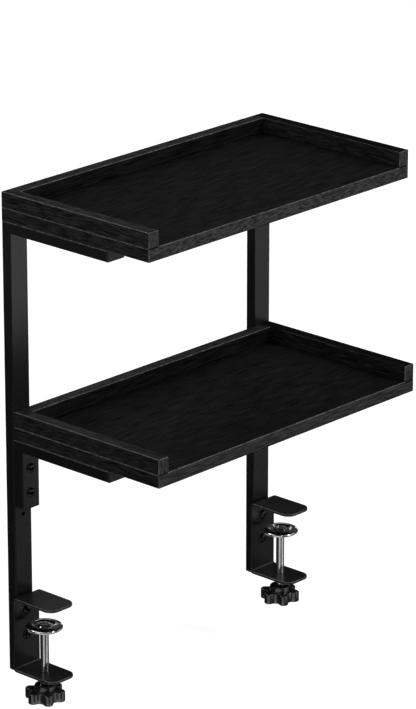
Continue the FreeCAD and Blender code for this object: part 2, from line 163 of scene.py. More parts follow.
world = bpy.data.worlds.new("studio")
world.use_nodes = True
bpy.context.scene.world = world
tree = world.node_tree
tree.nodes.clear()
soft = add_node(tree, "Background", {"Color": grey(1.0), "Strength": soft_strength})
white = add_node(tree, "Background", {"Color": grey(1.0), "Strength": white_strength})
split_rays(tree, soft, white, tree.nodes.new("ShaderNodeOutputWorld"))
print("world: soft light", soft_strength, "seen as", white_strength)

# %% [markdown]
# The floor works in the same way: part of its brightness is its own, so it looks white, and
# the other part is lit, so it still takes a soft shadow. It lies low enough for the knobs when
# they are wound all the way down, because the shelf hangs from a desk.

# %% Floor
knob_travel = 48 * mm
floor_gap = 2 * mm
floor_width = 24.0
bounce_grey, lit_grey, own_light = 0.55, 0.35, 0.72

floor_z = cad_box[0][2] - knob_travel - floor_gap
bpy.ops.mesh.primitive_plane_add(size=floor_width, location=(0, 0, floor_z))
floor = bpy.context.object
floor.name = "floor"
floor_paint = bpy.data.materials.new("white_floor")
floor_paint.use_nodes = True
tree = floor_paint.node_tree
tree.nodes.clear()
bounce = add_node(tree, "BsdfDiffuse", {"Color": grey(bounce_grey)})
lit = add_node(tree, "BsdfDiffuse", {"Color": grey(lit_grey)})
own = add_node(tree, "Emission", {"Strength": own_light})
together = tree.nodes.new("ShaderNodeAddShader")
link(tree, lit.outputs[0], together.inputs[0])
link(tree, own.outputs[0], together.inputs[1])
split_rays(tree, bounce, together, tree.nodes.new("ShaderNodeOutputMaterial"))
floor.data.materials.append(floor_paint)
floor.visible_glossy = False
print("floor at", round(floor_z, 4))

# %% [markdown]
# ## Dark cards for the reflections
#
# Black lacquer and chrome show their surroundings. With white all round they look pale and
# flat, so dark cards stand around them, as they would in a real studio. These cards are
# patches of a large sphere. Only reflections see them, and between them metal still shows
# the white studio. Two light patches, a little nearer, stand for the bright floor.

# %% Cards
card_distance = 8.0
card_step = 5


def stage_card(patch, brightness):
    """Give a card its tone, and show it to reflections alone."""
    tone = bpy.data.materials.new(patch.name)
    tone.use_nodes = True
    tree = tone.node_tree
    tree.nodes.clear()
    glow = add_node(tree, "Emission", {"Strength": brightness})
    output = tree.nodes.new("ShaderNodeOutputMaterial")
    link(tree, glow.outputs[0], output.inputs["Surface"])
    patch.data.materials.append(tone)
    patch.visible_camera = False
    patch.visible_diffuse = False
    patch.visible_transmission = False
    patch.visible_shadow = False
    print(patch.name, "faces", len(patch.data.polygons))


def card(name, turns, rises, brightness, nearer=0.0):
    """A patch of a sphere between two turns and two rises, in degrees."""
    bpy.ops.mesh.primitive_uv_sphere_add(
        segments=360 // card_step, ring_count=180 // card_step, radius=card_distance - nearer)
    patch = bpy.context.object
    patch.name = name
    bpy.ops.object.mode_set(mode="EDIT")
    bpy.ops.mesh.select_mode(type="FACE")
    mesh = bmesh.from_edit_mesh(patch.data)
    for face in mesh.faces:
        x, y, z = face.calc_center_median()
        turn = (math.degrees(math.atan2(y, x)) - turns[0]) % 360
        rise = math.degrees(math.atan2(z, math.hypot(x, y)))
        face.select_set(not (turn < turns[1] - turns[0] and rises[0] < rise < rises[1]))
    bmesh.update_edit_mesh(patch.data)
    bpy.ops.mesh.delete(type="FACE")
    bpy.ops.object.mode_set(mode="OBJECT")
    stage_card(patch, brightness)


card("card_behind_right", (-25, 70), (-70, 48), 0.05)
card("card_behind_left", (70, 165), (-50, 52), 0.03)
card("card_left_edge", (165, 186), (-50, 15), 0.03)
card("card_left", (186, 217), (-50, 15), 0.65)
card("card_grey", (217, 240), (-45, 40), 0.36)
card("card_narrow", (240, 270), (-45, 40), 0.03)
card("card_front", (290, 345), (9, 45), 0.12)
card("card_below", (0, 360), (-90, -50), 0.10)
card("floor_in_front", (165, 290), (-90, -28), 0.9, nearer=0.2)
card("floor_behind", (60, 110), (-90, -28), 0.9, nearer=0.2)

# %% [markdown]
# The cards so far are too distant to tell one piece from its neighbours. Flat cards that
# stand near the shelf reach single pieces. Two grey ones in front darken the lower fronts
# and the right post, and those behind lift the left sides of the trays and the tops and
# edges of the jaws. Narrow ones in front of each clamp give its spindle alternating light
# and dark stripes. Each chromed pad has shade before it and behind it a dark card between
# two white ones, whose glints show its dish.

# %% Near cards
def near_card(name, low, high, y, brightness):
    """An upright card between two corners of (x, z), at a depth y, all in metres."""
    middle = ((low[0] + high[0]) / 2, y, (low[1] + high[1]) / 2)
    bpy.ops.mesh.primitive_plane_add(size=1.0, location=middle, rotation=(math.pi / 2, 0, 0))
    bpy.context.object.name = name
    bpy.context.object.scale = (high[0] - low[0], high[1] - low[1], 1.0)
    stage_card(bpy.context.object, brightness)


near_card("card_low", (-0.05, -1.2), (1.40, -0.11), -0.68, 0.34)
near_card("card_right", (0.76, -0.11), (1.40, 0.9), -0.68, 0.52)
near_card("card_behind_trays", (-1.50, 0.0), (-0.30, 0.6), 0.70, 0.11)
near_card("left_stripe", (-0.189, -0.30), (-0.043, -0.11), -0.25, 0.65)
near_card("left_grey", (-0.043, -0.30), (0.065, -0.11), -0.25, 0.36)
near_card("left_dark", (0.065, -0.60), (0.205, -0.11), -0.25, 0.12)
near_card("middle_dark", (0.205, -0.60), (0.459, -0.20), -0.25, 0.12)
near_card("right_stripe", (0.205, -0.20), (0.351, -0.11), -0.25, 0.65)
near_card("right_grey", (0.351, -0.20), (0.459, -0.11), -0.25, 0.36)
near_card("right_dark", (0.459, -0.60), (1.00, -0.11), -0.25, 0.12)
near_card("left_pad_shade", (-0.90, -0.10), (-0.30, 0.40), -0.25, 0.01)
near_card("right_pad_shade", (-0.45, -0.10), (-0.02, 0.12), -0.25, 0.01)
near_card("left_pad_dark", (-0.045, -0.03), (0.20, 0.105), 0.20, 0.008)
near_card("middle_glint", (0.20, -0.03), (0.345, 0.075), 0.20, 1.0)
near_card("left_glint", (-0.115, -0.03), (-0.045, 0.06), 0.20, 1.0)
near_card("right_pad_dark", (0.345, -0.03), (0.60, 0.105), 0.20, 0.008)
near_card("right_glint", (0.60, -0.03), (0.85, 0.075), 0.20, 1.0)
near_card("card_behind_jaws", (0.38, 0.12), (0.78, 0.34), 0.70, 0.42)
near_card("card_above_jaws", (0.38, 0.34), (0.78, 0.50), 0.70, 0.26)

# %% [markdown]
# ## Lamps
#
# Soft suns light floor and object evenly. The key comes from the front right, so the fronts
# of the tubes are brighter than their left sides. A weaker one from the left gives round
# forms a second highlight, and one from behind draws the arrises.

# %% Lamps
def soft_sun(name, towards, strength, spread_degrees):
    """A sun whose light comes from the given direction, with a wide, soft disc."""
    data = bpy.data.lights.new(name, "SUN")
    data.energy = strength
    data.angle = math.radians(spread_degrees)
    lamp = bpy.data.objects.new(name, data)
    bpy.context.scene.collection.objects.link(lamp)
    lamp.rotation_euler = Vector(towards).to_track_quat("Z", "Y").to_euler()
    print(name, "sun, strength", strength)


soft_sun("key", (0.45, -0.85, 0.70), 2.3, 28)
soft_sun("fill", (-0.75, -0.80, 0.85), 0.5, 22)
soft_sun("rim", (-0.30, 0.65, 0.75), 1.1, 22)

# %% [markdown]
# ## Tools of the workshop
#
# Every new piece starts from a primitive or a single point and is shaped in edit mode. These
# helpers open a piece, pick what an operator works on, and close it with its doubles merged
# and its faces turned outwards.

# %% Open, pick and close
merge_distance = 0.002 * mm


def deselect_all():
    """Nothing selected, in object mode."""
    if bpy.context.object and bpy.context.object.mode != "OBJECT":
        bpy.ops.object.mode_set(mode="OBJECT")
    bpy.ops.object.select_all(action="DESELECT")


def make_active(piece):
    """Select one piece alone."""
    deselect_all()
    bpy.context.view_layer.objects.active = piece
    piece.select_set(True)


def edit(piece, mode):
    """Open a piece in edit mode with nothing selected."""
    make_active(piece)
    bpy.ops.object.mode_set(mode="EDIT")
    bpy.ops.mesh.select_mode(type=mode)
    bpy.ops.mesh.select_all(action="DESELECT")


def pick(piece, kind, test):
    """In edit mode, select the verts, edges or faces that pass a test, and tell how many."""
    mesh = bmesh.from_edit_mesh(piece.data)
    count = 0
    for item in getattr(mesh, kind):
        item.select_set(False)
    for item in getattr(mesh, kind):
        if test(item):
            item.select_set(True)
            count += 1
    mesh.select_flush_mode()
    bmesh.update_edit_mesh(piece.data)
    return count


def close_edit(piece):
    """Merge doubles, turn the faces outwards and leave edit mode."""
    bpy.ops.mesh.select_all(action="SELECT")
    bpy.ops.mesh.remove_doubles(threshold=merge_distance)
    bpy.ops.mesh.normals_make_consistent(inside=False)
    bpy.ops.object.mode_set(mode="OBJECT")


def settle(piece):
    """Put the place, turn and size of a piece into its mesh."""
    make_active(piece)
    bpy.ops.object.transform_apply(location=True, rotation=True, scale=True)


print("doubles are merged within", merge_distance, "m")

# %% [markdown]
# A piece is shaded smooth, with its sharp corners kept. Its shading is weighted by area, or
# its flat sides would look hollow beside their rounded arrises. Last it gets its finishes and
# takes the place of its CAD node.

# %% Shade and hand over
def smooth(piece, degrees):
    """Smooth shading, with the sharp corners kept."""
    make_active(piece)
    bpy.ops.object.shade_smooth_by_angle(angle=math.radians(degrees))


def even_normals(piece):
    """Weight the shading by area, so that a flat side stays flat up to its rounded arris."""
    make_active(piece)
    modifier = piece.modifiers.new("even_normals", "WEIGHTED_NORMAL")
    modifier.keep_sharp = True
    bpy.ops.object.modifier_apply(modifier=modifier.name)


def paint(piece, *finishes):
    """The finishes of a piece, one to a slot, in place of the slots that it had."""
    piece.data.materials.clear()
    for finish in finishes:
        piece.data.materials.append(finish)


def stand_in(piece, node, body):
    """The piece takes the place of a CAD node, on its body and with its finish."""
    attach(piece, body)
    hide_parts(node)
    print(node, "faces", len(piece.data.polygons))


print("workshop is ready")

# %% [markdown]
# ## Finishes
#
# Each finish is a few layers of noise in the object's own coordinates. `layer` makes one
# noise, stretched along the axes, and `ramp` turns it into two tones of colour. `bumps`
# presses a noise into the surface as fine relief, with its height in metres.

# %% Material helpers
noise_low, noise_high = 0.3, 0.7


def new_finish(name):
    """An empty finish: its material, its node tree and its shader."""
    material = bpy.data.materials.new(name)
    material.use_nodes = True
    tree = material.node_tree
    return material, tree, tree.nodes["Principled BSDF"]


def layer(tree, scale, offset=(0, 0, 0), detail=3.0, distortion=0.0):
    """Noise in object coordinates. Scale is in waves per metre along each axis."""
    place = tree.nodes.new("ShaderNodeTexCoord")
    mapping = add_node(tree, "Mapping", {"Location": offset, "Scale": scale})
    noise = add_node(
        tree, "TexNoise", {"Scale": 1.0, "Detail": detail, "Distortion": distortion})
    link(tree, place.outputs["Object"], mapping.inputs["Vector"])
    link(tree, mapping.outputs["Vector"], noise.inputs["Vector"])
    return noise.outputs["Fac"]


def ramp(tree, value, stops):
    """Two tones along a value, each given as (position, colour)."""
    node = tree.nodes.new("ShaderNodeValToRGB")
    for element, (position, colour) in zip(node.color_ramp.elements, stops):
        element.position = position
        element.color = (*colour, 1.0)
    link(tree, value, node.inputs["Fac"])
    return node.outputs["Color"]


def between(tree, value, low, high):
    """A noise spread from one number to another, as for roughness."""
    node = add_node(tree, "MapRange", {
        "From Min": noise_low, "From Max": noise_high, "To Min": low, "To Max": high})
    link(tree, value, node.inputs["Value"])
    return node.outputs["Result"]


def bumps(tree, shader, value, height, below=None):
    """Relief of a given height, on top of another relief where one is given."""
    node = add_node(tree, "Bump", {"Strength": 1.0, "Distance": height})
    link(tree, value, node.inputs["Height"])
    if below:
        link(tree, below, node.inputs["Normal"])
    link(tree, node.outputs["Normal"], shader.inputs["Normal"])
    return node.outputs["Normal"]


print("finish helpers are ready")

# %% [markdown]
# The trays are faced with black wood grain: fine dashes along the length of each piece, a
# broad slow figure, and pores that are slightly deeper and duller. The grain is noise that
# is stretched five times or more along the piece, and shifted so that no two pieces match.
# Fewer waves per metre along the grain make longer dashes.

# %% Black wood
wood_dark = (0.0010, 0.0010, 0.0012)
wood_light = (0.0345, 0.0344, 0.0351)
figure_dark = (0.0035, 0.0035, 0.0038)
figure_light = (0.0105, 0.0105, 0.0110)
dash_width_rate = 900
figure_rates = (120, 12)
pore_rates = (1500, 150)


def mixed(tree, factor, first, second):
    """Two colours mixed by a factor."""
    node = tree.nodes.new("ShaderNodeMix")
    node.data_type = "RGBA"
    link(tree, factor, node.inputs["Factor"])
    link(tree, first, node.inputs["A"])
    link(tree, second, node.inputs["B"])
    return node.outputs["Result"]


def black_wood(name, along, offset, sheen, dash_rate):
    """Black wood whose grain runs along the given axis. Less sheen makes it deeper black."""
    material, tree, shader = new_finish(name)

    def stretched(fine, coarse):
        return tuple(coarse if axis == along else fine for axis in "XYZ")

    dashes = layer(
        tree, stretched(dash_width_rate, dash_rate), offset, detail=2.0, distortion=0.3)
    figure = layer(tree, stretched(*figure_rates), offset, distortion=1.2)
    pores = layer(tree, stretched(*pore_rates), offset, detail=2.0)
    dash_tones = ramp(tree, dashes, [(0.40, wood_dark), (0.62, wood_light)])
    figure_tones = ramp(tree, figure, [(0.40, figure_dark), (0.60, figure_light)])
    share = between(tree, pores, 0.15, 0.75)
    tones = mixed(tree, share, figure_tones, dash_tones)
    deep = tree.nodes.new("ShaderNodeVectorMath")
    deep.operation = "SCALE"
    deep.inputs["Scale"].default_value = sheen
    link(tree, tones, deep.inputs[0])
    link(tree, deep.outputs["Vector"], shader.inputs["Base Color"])
    gloss = between(tree, dashes, 0.09 * sheen, 0.60 * sheen)
    link(tree, gloss, shader.inputs["Specular IOR Level"])
    link(tree, between(tree, dashes, 0.46, 0.30), shader.inputs["Roughness"])
    shader.inputs["IOR"].default_value = 1.33
    relief = bumps(tree, shader, dashes, height=0.00012)
    bumps(tree, shader, pores, height=0.00006, below=relief)
    return material


print("wood tones", wood_dark, "to", wood_light)

# %% [markdown]
# The edges of wooden boards are rounded by a light pass with sandpaper. On wood and on steel,
# a lighter tone painted along an arris is a painted highlight, a fine lighter line. Where two
# pieces of wood meet, and on the arrises underneath, a dark tone is painted instead: a dark
# joint, and painted shade under the front. It hardly shines, so its index of refraction is low.

# %% Painted arris lines
def painted_arris_line(name, dark, light, ior=1.45):
    """Two tones painted on the smooth arris of a board, tube or plate, as highlight or shade."""
    material, tree, shader = new_finish(name)
    line_noise = layer(tree, (160, 160, 160))
    link(tree, ramp(tree, line_noise, [(0.35, dark), (0.65, light)]), shader.inputs["Base Color"])
    link(tree, between(tree, line_noise, 0.20, 0.32), shader.inputs["Roughness"])
    shader.inputs["IOR"].default_value = ior
    bumps(tree, shader, line_noise, height=0.00002)
    return material


# Painted highlights along the wood's arrises at the sides and at the front.
painted_side_highlight = painted_arris_line("side_arris_painted_highlight", (0.030, 0.030, 0.031), (0.066, 0.066, 0.068))
painted_front_highlight = painted_arris_line("front_arris_painted_highlight", (0.024, 0.024, 0.025), (0.080, 0.080, 0.082))
# A dark joint line, which on the arrises underneath is painted shade.
joint_and_painted_shade = painted_arris_line(
    "dark_joint_and_painted_shade", (0.0008, 0.0008, 0.0009), (0.0020, 0.0020, 0.0021), ior=1.12)
# A painted highlight along the arrises of steel.
painted_steel_highlight = painted_arris_line("steel_arris_painted_highlight", (0.030, 0.030, 0.031), (0.058, 0.058, 0.059))
print("lines:", [line.name for line in (painted_side_highlight, painted_front_highlight, joint_and_painted_shade, painted_steel_highlight)])

# %% [markdown]
# Powder coat is sprayed on as dust and baked. It flows into a satin skin with a very fine
# orange-peel texture, slightly uneven in tone. The same two layers of noise, darker or
# smoother, also give the moulded plugs, the glossy knobs and the black screws.

# %% Powder coat
def powder_coat(name, tone, roughness, ior):
    """A black skin of one tone, a little uneven, with a fine texture."""
    material, tree, shader = new_finish(name)
    cloud = layer(tree, (35, 35, 35))
    peel = layer(tree, (1400, 1400, 1400), detail=2.0)
    dark = tuple(0.8 * x for x in tone)
    light = tuple(1.2 * x for x in tone)
    link(tree, ramp(tree, cloud, [(0.3, dark), (0.7, light)]), shader.inputs["Base Color"])
    link(tree, between(tree, peel, roughness - 0.05, roughness + 0.07), shader.inputs["Roughness"])
    shader.inputs["IOR"].default_value = ior
    bumps(tree, shader, peel, height=0.00003)
    return material


tube_coat = powder_coat("satin_powder_coat", (0.0042, 0.0042, 0.0044), 0.26, 1.46)
screw_coat = powder_coat("gloss_black_screw", (0.0020, 0.0020, 0.0022), 0.10, 1.42)
plug_plastic = powder_coat("moulded_plug_plastic", (0.0130, 0.0130, 0.0132), 0.48, 1.38)
knob_plastic = powder_coat("gloss_knob_plastic", (0.0050, 0.0050, 0.0052), 0.12, 1.95)
print("skins:", [skin.name for skin in (tube_coat, screw_coat, plug_plastic, knob_plastic)])

# %% [markdown]
# Spindles and pads are chromed: nearly a mirror, with faint smears that only change how
# sharp the mirror is. The board screws are zinc plated, greyer and duller, and the dowels
# inside the rails are bare beech.

# %% Bare metals and beech
def plated(name, dark, light, low, high):
    """A plated metal whose tone and roughness vary a little."""
    material, tree, shader = new_finish(name)
    smear = layer(tree, (180, 180, 60), distortion=0.5)
    link(tree, ramp(tree, smear, [(0.3, dark), (0.7, light)]), shader.inputs["Base Color"])
    link(tree, between(tree, smear, low, high), shader.inputs["Roughness"])
    shader.inputs["Metallic"].default_value = 1.0
    return material


chrome = plated("bright_chrome", (0.66, 0.67, 0.68), (0.80, 0.80, 0.81), 0.05, 0.11)
zinc = plated("zinc_plate", (0.46, 0.47, 0.47), (0.62, 0.62, 0.61), 0.24, 0.38)


def bare_beech(name):
    """Beech with short darker flecks along the dowel."""
    material, tree, shader = new_finish(name)
    fleck = layer(tree, (900, 900, 140))
    tones = [(0.35, (0.40, 0.25, 0.13)), (0.6, (0.60, 0.43, 0.25))]
    link(tree, ramp(tree, fleck, tones), shader.inputs["Base Color"])
    link(tree, between(tree, fleck, 0.5, 0.7), shader.inputs["Roughness"])
    bumps(tree, shader, fleck, height=0.00004)
    return material


beech = bare_beech("bare_beech")
print("finishes:", len(bpy.data.materials))

# %% [markdown]
# The CAD nodes whose shape is right keep it, and get their finish in their material slots.
# Those that a new piece replaces further on are dressed too, so that either looks right.

# %% Dress the CAD nodes
def dress(names, material):
    """Give CAD nodes a finish in their material slots."""
    for name in names:
        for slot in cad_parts[name].material_slots:
            slot.material = material
    print(material.name, "on", len(names), "nodes")


sides = ("left", "right")
tubes = ("post", "top_arm", "bracket_leg", "bracket_arm")
steel_pieces = tubes + ("clamp_plate", "clamp_nut")
dress([side + "_" + piece for side in sides for piece in steel_pieces], tube_coat)
dress(["post_rivet_nuts"], tube_coat)
dress([tube + "_end_plugs" for tube in tubes], plug_plastic)
dress(["upper_rail_dowels", "lower_rail_dowels"], beech)
dress(["bracket_screws", "clamp_plate_screws"], screw_coat)
dress(["upper_board_screws", "lower_board_screws"], zinc)
dress(["left_spindle", "right_spindle", "left_pad", "right_pad"], chrome)
dress(["left_knob", "right_knob"], knob_plastic)

# %% [markdown]
# ## Boards and rails
#
# A tray is a board with three rails on top, and each of these pieces has six finishes in
# numbered slots. Every face starts in slot 0, with dashes of grain that are longer on the
# lower board. The end faces have grain that runs across. The tray's floor, the front of the
# back rail and the top of the right rail are painted a deeper black as painted shade, and the
# whole lower tray is painted a little darker as painted shade too. The other three finishes
# are for the arrises: painted highlights along the sides and along the front, and a dark line
# in the joints that is painted shade underneath.

# %% Finishes of a tray
# Slots 1 and 4 are painted highlights, slot 3 painted shade, slot 5 a dark joint and painted
# shade.
side_highlight_slot, end_slot, painted_shade_slot, front_highlight_slot, joint_and_shade_slot = range(1, 6)
dash_rates = {"X": 150, "Y": 60, "Z": 150}
long_dashes, longest_dashes = 40, 30
# A smaller sheen paints the lower tray a little darker, as painted shade, and slot 3 darker still.
tray_shade_sheens = {"upper": 1.0, "lower": 0.86}
painted_shade_sheen, deepest_painted_shade_sheen = 0.40, 0.15


def tray_finishes(piece, node, along, across, offset):
    """The finishes of a board or rail, in the order of its slots."""
    sheen = tray_shade_sheens[node.split("_")[0]]
    rate = long_dashes if node == "lower_board" else dash_rates[along]
    # Painted shade: the right rail's top gets the deepest black, the other slot 3 faces a deeper
    # one.
    deep = deepest_painted_shade_sheen if "right" in node else painted_shade_sheen
    paint(
        piece,
        black_wood(node + "_grain", along, offset, sheen, rate),
        painted_side_highlight,
        black_wood(node + "_end_grain", across, offset, sheen, dash_rates[across]),
        black_wood(node + "_floor_grain", along, offset, deep, longest_dashes),
        painted_front_highlight,
        joint_and_painted_shade,
    )
    print(node, "finishes", len(piece.data.materials))


# %% [markdown]
# Faces get a finish by where they lie and which way their normal points. A normal's part
# along an axis is 1 if it points that way and 0 if it points across, and on a rounded arris
# it is in between. Along a tray's sides all arrises get a painted highlight. Along its front,
# those that stand upright, or lie open to the light between the rails, get a painted
# highlight, and the others, in a joint or underneath, get a dark line: a dark joint, and
# painted shade underneath.

# %% Which face gets which finish
arris_round = 0.7 * mm
half_width = 210 * mm
facing, leaning, straight_ahead = 0.9, 0.2, 0.97


def give_finish(piece, slot, test):
    """In edit mode, give the faces that pass a test the finish of a slot, and count them."""
    found = pick(piece, "faces", test)
    piece.active_material_index = slot
    bpy.ops.object.material_slot_assign()
    return found


def on_side_arris(face):
    """True on the rounded arrises along the two outer sides of a tray."""
    outside = abs(face.calc_center_median().x) > half_width - arris_round
    slanted = min(abs(face.normal.x), abs(face.normal.z)) > leaning
    return outside and slanted and abs(face.normal.y) < leaning


def finish_arrises(piece, front, under_rail):
    """Finish the arrises. A front's joints begin at the distance under_rail from the middle."""
    def on_front(face):
        near = face.calc_center_median().y < front + arris_round
        return near and abs(face.normal.y) < straight_ahead

    def is_open(face):
        upright = abs(face.normal.z) < leaning
        between_rails = abs(face.calc_center_median().x) < under_rail
        return upright or (face.normal.z > 0 and between_rails)

    # Painted highlight on the open front and side arrises, dark joint and painted shade on the
    # rest.
    light = give_finish(piece, front_highlight_slot, lambda f: on_front(f) and is_open(f))
    dark = give_finish(piece, joint_and_shade_slot, lambda f: on_front(f) and not is_open(f))
    side = give_finish(piece, side_highlight_slot, on_side_arris)
    print(piece.name, "arris faces: light", light, "dark", dark, "side", side)


# %% [markdown]
# Each board or rail is a cube stretched to its node's box, with every arris rounded by a
# bevel. A board is then cut across under the rails' inner sides, because the joint under a
# rail stays dark. The wood's noise is shifted for each piece.

# %% Boards and rails
rail_thickness = 15 * mm
tray_shift = 3.7


def plank(node, along, across, offset):
    """One board or rail. Its grain runs along one axis, and across another on its ends."""
    low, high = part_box(node)
    deselect_all()
    bpy.ops.mesh.primitive_cube_add(size=1.0, location=(low + high) / 2)
    piece = bpy.context.object
    piece.name = node + "_veneered"
    piece.scale = high - low
    settle(piece)
    tray_finishes(piece, node, along, across, offset)
    edit(piece, "FACE")
    # Painted shade: the tops of boards and right rails, and the fronts of back rails, get the
    # darker grain.
    if "board" in node or "right" in node:
        give_finish(piece, painted_shade_slot, lambda f: f.normal.z > facing)
    if "back" in node:
        give_finish(piece, painted_shade_slot, lambda f: f.normal.y < -facing)
    end = "XYZ".index(along)
    give_finish(piece, end_slot, lambda f: abs(f.normal[end]) > facing)
    edit(piece, "EDGE")
    bpy.ops.mesh.select_all(action="SELECT")
    bpy.ops.mesh.bevel(offset=arris_round, segments=3, affect="EDGES")
    close_edit(piece)
    edit(piece, "FACE")
    under_rail = half_width
    if "board" in node:
        under_rail = high.x - rail_thickness
        for x in (-under_rail, under_rail):
            bpy.ops.mesh.select_all(action="SELECT")
            bpy.ops.mesh.bisect(plane_co=(x, 0, 0), plane_no=(1, 0, 0))
    finish_arrises(piece, low.y, under_rail)
    bpy.ops.object.mode_set(mode="OBJECT")
    smooth(piece, 40)
    even_normals(piece)
    stand_in(piece, node, "root")


for level, shift in (("upper", 0.0), ("lower", tray_shift)):
    plank(level + "_board", "X", "Y", (shift, 1.3, 0.4))
    plank(level + "_back_rail", "X", "Y", (shift + 1.1, 2.9, 0.8))
    plank(level + "_left_rail", "Y", "Z", (shift + 2.3, 0.7, 1.9))
    plank(level + "_right_rail", "Y", "Z", (shift + 3.1, 4.2, 2.6))

# %% [markdown]
# ## Arms
#
# The tubes' long edges are rounded, and where an arm meets its board, that rounding catches
# the light from behind. The arms' CAD shape is right. A merged copy stands for each, on which
# the two upper roundings get a painted highlight, a lighter tone in the colour.

# %% Arms
corner_round = 1.3 * mm
rounding_lean = 0.25
coat_slot, painted_highlight_slot = range(2)


def arm_with_painted_highlight(node):
    """A merged copy of an arm, with a painted highlight on its two upper rounded edges."""
    low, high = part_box(node)
    piece = bpy.data.objects.new(node + "_coated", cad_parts[node].data.copy())
    bpy.context.scene.collection.objects.link(piece)
    paint(piece, tube_coat, painted_steel_highlight)
    edit(piece, "FACE")
    close_edit(piece)

    def on_rounding(face):
        centre = face.calc_center_median()
        beside = min(centre.x - low.x, high.x - centre.x) < corner_round
        leans = min(abs(face.normal.x), abs(face.normal.z)) > rounding_lean
        return beside and leans and high.z - centre.z < corner_round

    edit(piece, "FACE")
    # Painted highlight on the two upper roundings.
    found = give_finish(piece, painted_highlight_slot, on_rounding)
    bpy.ops.object.mode_set(mode="OBJECT")
    smooth(piece, 25)
    even_normals(piece)
    stand_in(piece, node, "root")
    print("faces on the roundings", found)


for node in ("left_top_arm", "right_top_arm", "left_bracket_arm", "right_bracket_arm"):
    arm_with_painted_highlight(node)

# %% [markdown]
# ## Clamp plates
#
# Each plate is one strap of 3 mm steel. Its middle line, seen from the side, is drawn as a
# line of four points, its two bends are rounded and it is pulled out to the strap's width.
# Then its front corners are rounded, it gets its thickness, and its arrises are broken. The
# arrises of the two jaws get a painted highlight. Those near the post lie in its shade and keep
# the plain coat.

# %% Bent strap
strap_width, strap_thickness = 40.0, 3.0
jaw_tip, jaw_corner, strap_bend = -59.0, 12.0, 3.5
strap_back, upper_jaw, lower_jaw = 1.5, 1.5, -84.5
strap_arris, sharp_turn = 0.7, math.radians(60)


def first_point(name, place):
    """A piece that is one point, open in edit mode with that point selected."""
    deselect_all()
    bpy.ops.mesh.primitive_plane_add(size=mm)
    piece = bpy.context.object
    piece.name = name
    bpy.ops.object.mode_set(mode="EDIT")
    bpy.ops.mesh.select_mode(type="VERT")
    bpy.ops.mesh.select_all(action="SELECT")
    bpy.ops.mesh.merge(type="CENTER")
    bpy.ops.transform.translate(value=place)
    return piece


def draw_on(step):
    """Run on from the selected point by a straight step in metres."""
    bpy.ops.mesh.extrude_vertices_move(TRANSFORM_OT_translate={"value": step})


strap = first_point("bent_strap", (-strap_width / 2 * mm, jaw_tip * mm, upper_jaw * mm))
draw_on((0, (strap_back - jaw_tip) * mm, 0))
draw_on((0, 0, (lower_jaw - upper_jaw) * mm))
draw_on((0, (jaw_tip - strap_back) * mm, 0))
pick(strap, "verts", lambda v: v.co.y > 0)
bpy.ops.mesh.bevel(offset=strap_bend * mm, segments=8, affect="VERTICES")
bpy.ops.mesh.select_all(action="SELECT")
bpy.ops.mesh.extrude_edges_move(TRANSFORM_OT_translate={"value": (strap_width * mm, 0, 0)})
pick(strap, "verts", lambda v: v.co.y < (jaw_tip + 1) * mm)
bpy.ops.mesh.bevel(offset=jaw_corner * mm, segments=12, affect="VERTICES")
close_edit(strap)
make_active(strap)
thickness = strap.modifiers.new("thickness", "SOLIDIFY")
thickness.thickness = strap_thickness * mm
thickness.offset = 0.0
bpy.ops.object.modifier_apply(modifier=thickness.name)
paint(strap, tube_coat, painted_steel_highlight)
edit(strap, "EDGE")
pick(strap, "edges", lambda e: len(e.link_faces) == 2 and e.calc_face_angle() > sharp_turn)
# Every broken arris first gets the painted highlight.
bpy.ops.mesh.bevel(offset=strap_arris * mm, segments=3, affect="EDGES", material=painted_highlight_slot)
close_edit(strap)
edit(strap, "FACE")
# Near the post the arrises go back to the plain coat, as they lie in its shade.
give_finish(strap, coat_slot, lambda f: f.calc_center_median().y > -strap_bend * mm)
bpy.ops.object.mode_set(mode="OBJECT")
print("strap", [round(x * 1000, 2) for x in strap.dimensions])

# %% [markdown]
# The holes are cut last: two for the screws to the post, and one for the spindle. Left and
# right are alike, so this plate, and each piece of the clamp after it, is made once on the
# middle line and copied to both sides.

# %% Holes and copies
spindle_y = -27.5
post_x = 197.0
plate_screws = (-16.0, -46.0)
screw_hole, spindle_hole, bore_length = 2.75, 5.5, 8.0


def boolean(piece, tool, operation):
    """Unite or cut a piece with a tool, and throw the tool away."""
    make_active(piece)
    modifier = piece.modifiers.new(operation.lower(), "BOOLEAN")
    modifier.operation = operation
    modifier.solver = "MANIFOLD"
    modifier.object = tool
    bpy.ops.object.modifier_apply(modifier=modifier.name)
    bpy.data.objects.remove(tool)


def bore(piece, radius, place, turn=0.0):
    """Cut a round hole through a piece, at a place in millimetres."""
    deselect_all()
    bpy.ops.mesh.primitive_cylinder_add(
        vertices=48, radius=radius * mm, depth=bore_length * mm,
        location=[x * mm for x in place], rotation=(turn, 0, 0))
    cutter = bpy.context.object
    settle(cutter)
    boolean(piece, cutter, "DIFFERENCE")


def copy_to(piece, name, place, tip=0.0):
    """A copy with its own mesh, tipped about the X axis and moved in place."""
    twin = piece.copy()
    twin.data = piece.data.copy()
    twin.name = name
    bpy.context.scene.collection.objects.link(twin)
    twin.matrix_world = Matrix.Translation(place) @ Matrix.Rotation(tip, 4, "X")
    settle(twin)
    return twin


def both_sides(model, node, body, y=spindle_y):
    """A copy of a model on each side, whose name fills the {} in those of node and body."""
    for side, x in (("left", -post_x), ("right", post_x)):
        piece = copy_to(model, side + "_" + model.name, (x * mm, y * mm, 0))
        stand_in(piece, node.format(side), body.format(side))
    bpy.data.objects.remove(model)


